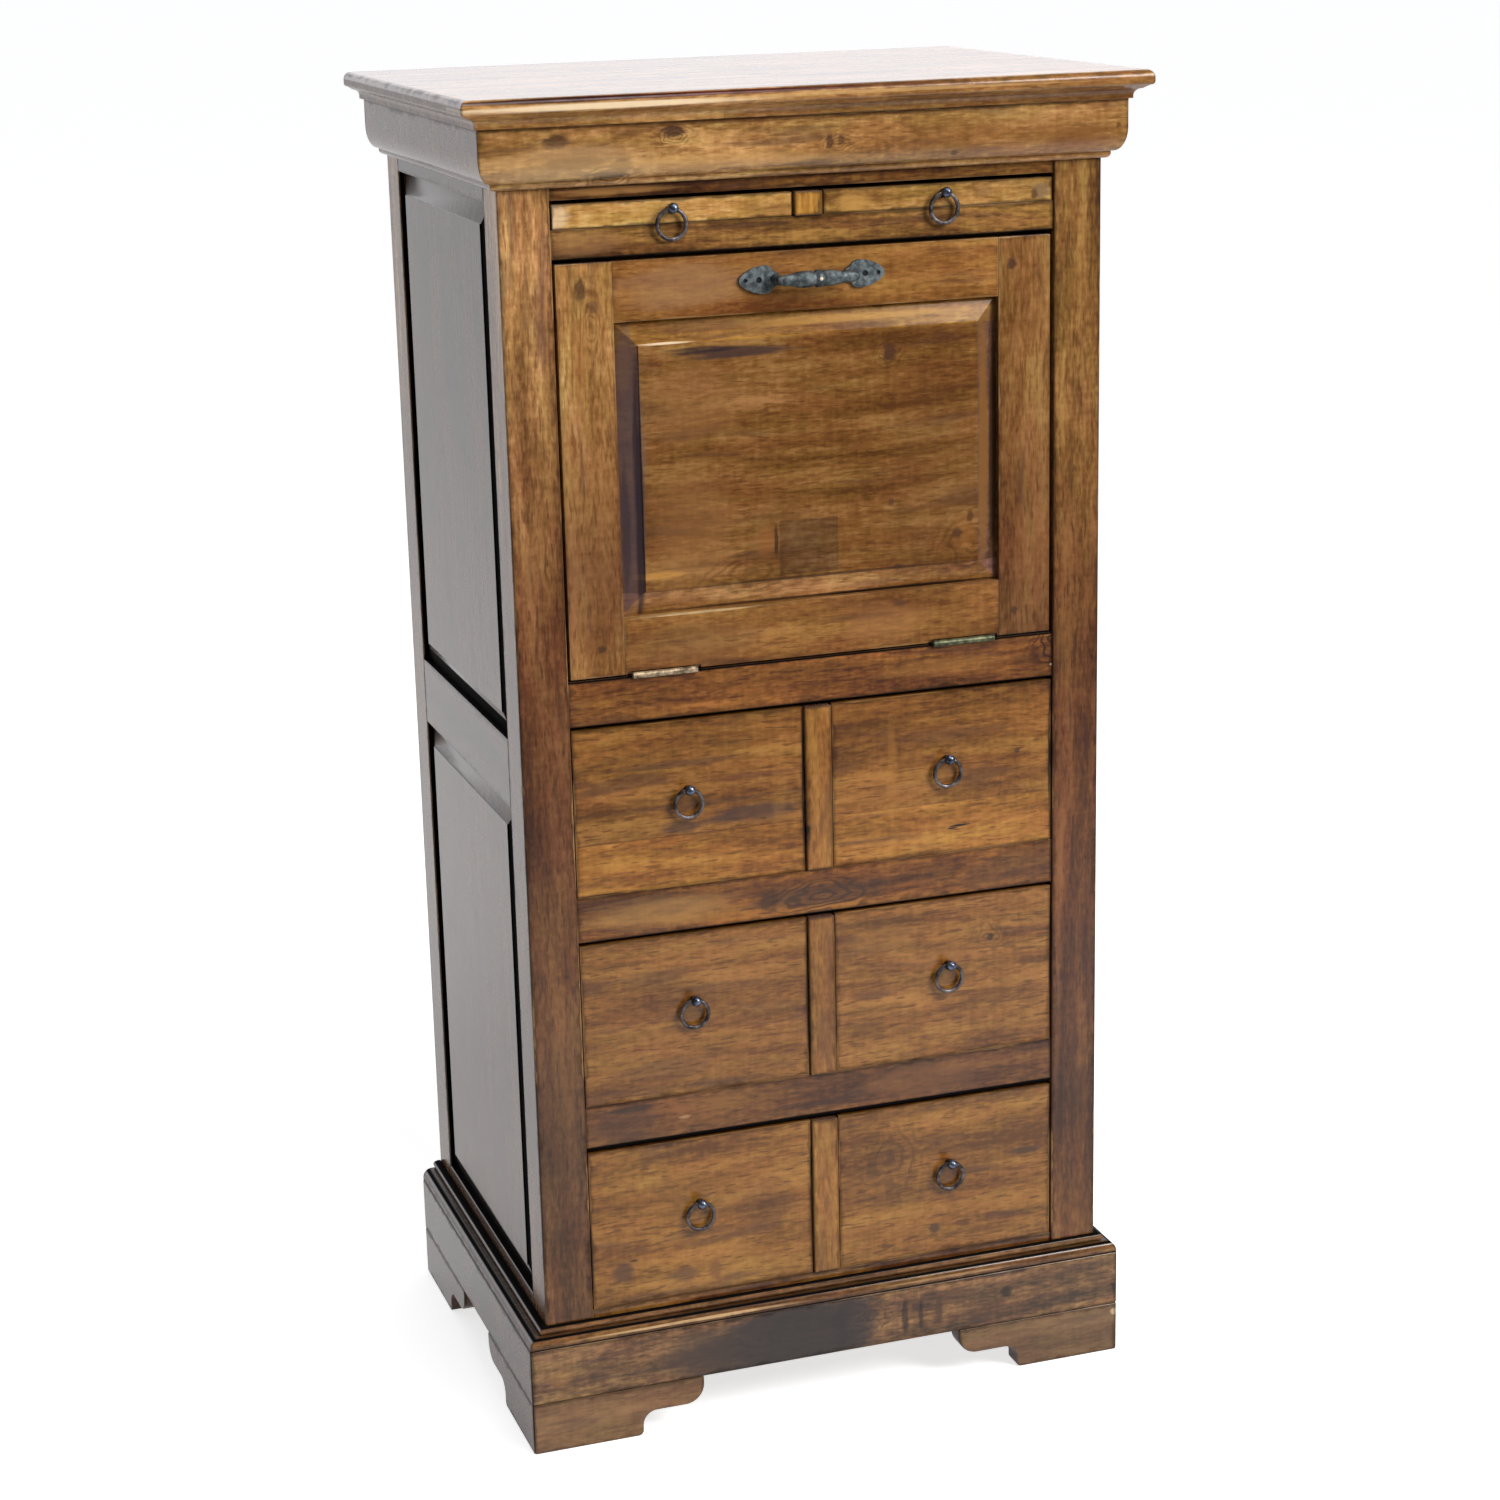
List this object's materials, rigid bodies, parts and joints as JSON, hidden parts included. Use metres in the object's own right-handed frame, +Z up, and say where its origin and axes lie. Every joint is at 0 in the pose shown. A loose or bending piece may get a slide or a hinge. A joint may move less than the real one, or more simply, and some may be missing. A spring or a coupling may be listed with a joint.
{
  "type": "secretary desk",
  "caption": "Fall-front secretary desk in stained wood with small drawers and pull-out slides on iron ring pulls, a moulded cornice and bracket feet.",
  "frame": {"origin": "on the floor, under the centre of the top board", "axes": "+X to the right seen from the front, +Y to the back, +Z up"},
  "size_m": [0.61, 0.452, 1.207],
  "materials": {
    "front_wood": "satin varnish",
    "dark_wood": "satin varnish",
    "light_wood": "satin varnish",
    "inside_wood": "plain",
    "black_iron": "forged, blackened",
    "aged_brass": "dull"
  },
  "bodies": {
    "cabinet": {"top_board": "dark_wood", "cornice": "front_wood", "front_posts": "dark_wood", "back_posts": "dark_wood", "side_rails": "dark_wood", "side_panels": "dark_wood", "front_rails": "front_wood", "muntins": "front_wood", "centre_partition": "inside_wood", "slide_guides": "inside_wood", "drawer_runners": "inside_wood", "desk_floor": "inside_wood", "desk_ceiling": "inside_wood", "floor_cleats": "inside_wood", "back_rails": "inside_wood", "back_panel": "inside_wood", "bottom_board": "inside_wood", "pigeonholes": "inside_wood", "plinth_boards": "dark_wood", "base_moulding": "front_wood", "front_feet": "dark_wood", "back_feet": "dark_wood", "cabinet_hinge_leaves": "aged_brass", "stay_guides": "aged_brass"},
    "fall": {"fall_stiles": "front_wood", "fall_rails": "front_wood", "fall_panel": "front_wood", "fall_handle": "black_iron", "fall_hinge_leaves": "aged_brass", "fall_stays": "aged_brass"},
    "upper_left_drawer": {"upper_left_drawer_front": "front_wood", "upper_left_drawer_box": "inside_wood", "upper_left_drawer_pull": "black_iron"},
    "upper_left_drawer_ring": {"upper_left_drawer_ring": "black_iron"},
    "upper_right_drawer": {"upper_right_drawer_front": "front_wood", "upper_right_drawer_box": "inside_wood", "upper_right_drawer_pull": "black_iron"},
    "upper_right_drawer_ring": {"upper_right_drawer_ring": "black_iron"},
    "middle_left_drawer": {"middle_left_drawer_front": "front_wood", "middle_left_drawer_box": "inside_wood", "middle_left_drawer_pull": "black_iron"},
    "middle_left_drawer_ring": {"middle_left_drawer_ring": "black_iron"},
    "middle_right_drawer": {"middle_right_drawer_front": "front_wood", "middle_right_drawer_box": "inside_wood", "middle_right_drawer_pull": "black_iron"},
    "middle_right_drawer_ring": {"middle_right_drawer_ring": "black_iron"},
    "lower_left_drawer": {"lower_left_drawer_front": "front_wood", "lower_left_drawer_box": "inside_wood", "lower_left_drawer_pull": "black_iron"},
    "lower_left_drawer_ring": {"lower_left_drawer_ring": "black_iron"},
    "lower_right_drawer": {"lower_right_drawer_front": "front_wood", "lower_right_drawer_box": "inside_wood", "lower_right_drawer_pull": "black_iron"},
    "lower_right_drawer_ring": {"lower_right_drawer_ring": "black_iron"},
    "left_slide": {"left_slide_board": "light_wood", "left_slide_pull": "black_iron"},
    "left_slide_ring": {"left_slide_ring": "black_iron"},
    "right_slide": {"right_slide_board": "light_wood", "right_slide_pull": "black_iron"},
    "right_slide_ring": {"right_slide_ring": "black_iron"}
  },
  "joints": [
    {"name": "fall_front", "type": "hinge", "parent": "cabinet", "child": "fall", "pos_m": [0, -0.192, 0.71375], "axis": [1, 0, 0], "range_deg": [0, 90]},
    {"name": "upper_left_drawer_slide", "type": "slide", "parent": "cabinet", "child": "upper_left_drawer", "axis": [0, -1, 0], "range_m": [0, 0.24]},
    {"name": "upper_left_drawer_ring_swing", "type": "hinge", "parent": "upper_left_drawer", "child": "upper_left_drawer_ring", "pos_m": [-0.12225, -0.1946, 0.60655], "axis": [-1, 0, 0], "range_deg": [-4, 100]},
    {"name": "upper_right_drawer_slide", "type": "slide", "parent": "cabinet", "child": "upper_right_drawer", "axis": [0, -1, 0], "range_m": [0, 0.24]},
    {"name": "upper_right_drawer_ring_swing", "type": "hinge", "parent": "upper_right_drawer", "child": "upper_right_drawer_ring", "pos_m": [0.12225, -0.1946, 0.60655], "axis": [-1, 0, 0], "range_deg": [-4, 100]},
    {"name": "middle_left_drawer_slide", "type": "slide", "parent": "cabinet", "child": "middle_left_drawer", "axis": [0, -1, 0], "range_m": [0, 0.24]},
    {"name": "middle_left_drawer_ring_swing", "type": "hinge", "parent": "middle_left_drawer", "child": "middle_left_drawer_ring", "pos_m": [-0.12225, -0.1946, 0.41105], "axis": [-1, 0, 0], "range_deg": [-4, 100]},
    {"name": "middle_right_drawer_slide", "type": "slide", "parent": "cabinet", "child": "middle_right_drawer", "axis": [0, -1, 0], "range_m": [0, 0.24]},
    {"name": "middle_right_drawer_ring_swing", "type": "hinge", "parent": "middle_right_drawer", "child": "middle_right_drawer_ring", "pos_m": [0.12225, -0.1946, 0.41105], "axis": [-1, 0, 0], "range_deg": [-4, 100]},
    {"name": "lower_left_drawer_slide", "type": "slide", "parent": "cabinet", "child": "lower_left_drawer", "axis": [0, -1, 0], "range_m": [0, 0.24]},
    {"name": "lower_left_drawer_ring_swing", "type": "hinge", "parent": "lower_left_drawer", "child": "lower_left_drawer_ring", "pos_m": [-0.12225, -0.1946, 0.21555], "axis": [-1, 0, 0], "range_deg": [-4, 100]},
    {"name": "lower_right_drawer_slide", "type": "slide", "parent": "cabinet", "child": "lower_right_drawer", "axis": [0, -1, 0], "range_m": [0, 0.24]},
    {"name": "lower_right_drawer_ring_swing", "type": "hinge", "parent": "lower_right_drawer", "child": "lower_right_drawer_ring", "pos_m": [0.12225, -0.1946, 0.21555], "axis": [-1, 0, 0], "range_deg": [-4, 100]},
    {"name": "left_slide_out", "type": "slide", "parent": "cabinet", "child": "left_slide", "axis": [0, -1, 0], "range_m": [0, 0.24]},
    {"name": "left_slide_ring_swing", "type": "hinge", "parent": "left_slide", "child": "left_slide_ring", "pos_m": [-0.12225, -0.1946, 1.1093], "axis": [-1, 0, 0], "range_deg": [-4, 100]},
    {"name": "right_slide_out", "type": "slide", "parent": "cabinet", "child": "right_slide", "axis": [0, -1, 0], "range_m": [0, 0.24]},
    {"name": "right_slide_ring_swing", "type": "hinge", "parent": "right_slide", "child": "right_slide_ring", "pos_m": [0.12225, -0.1946, 1.1093], "axis": [-1, 0, 0], "range_deg": [-4, 100]}
  ]
}
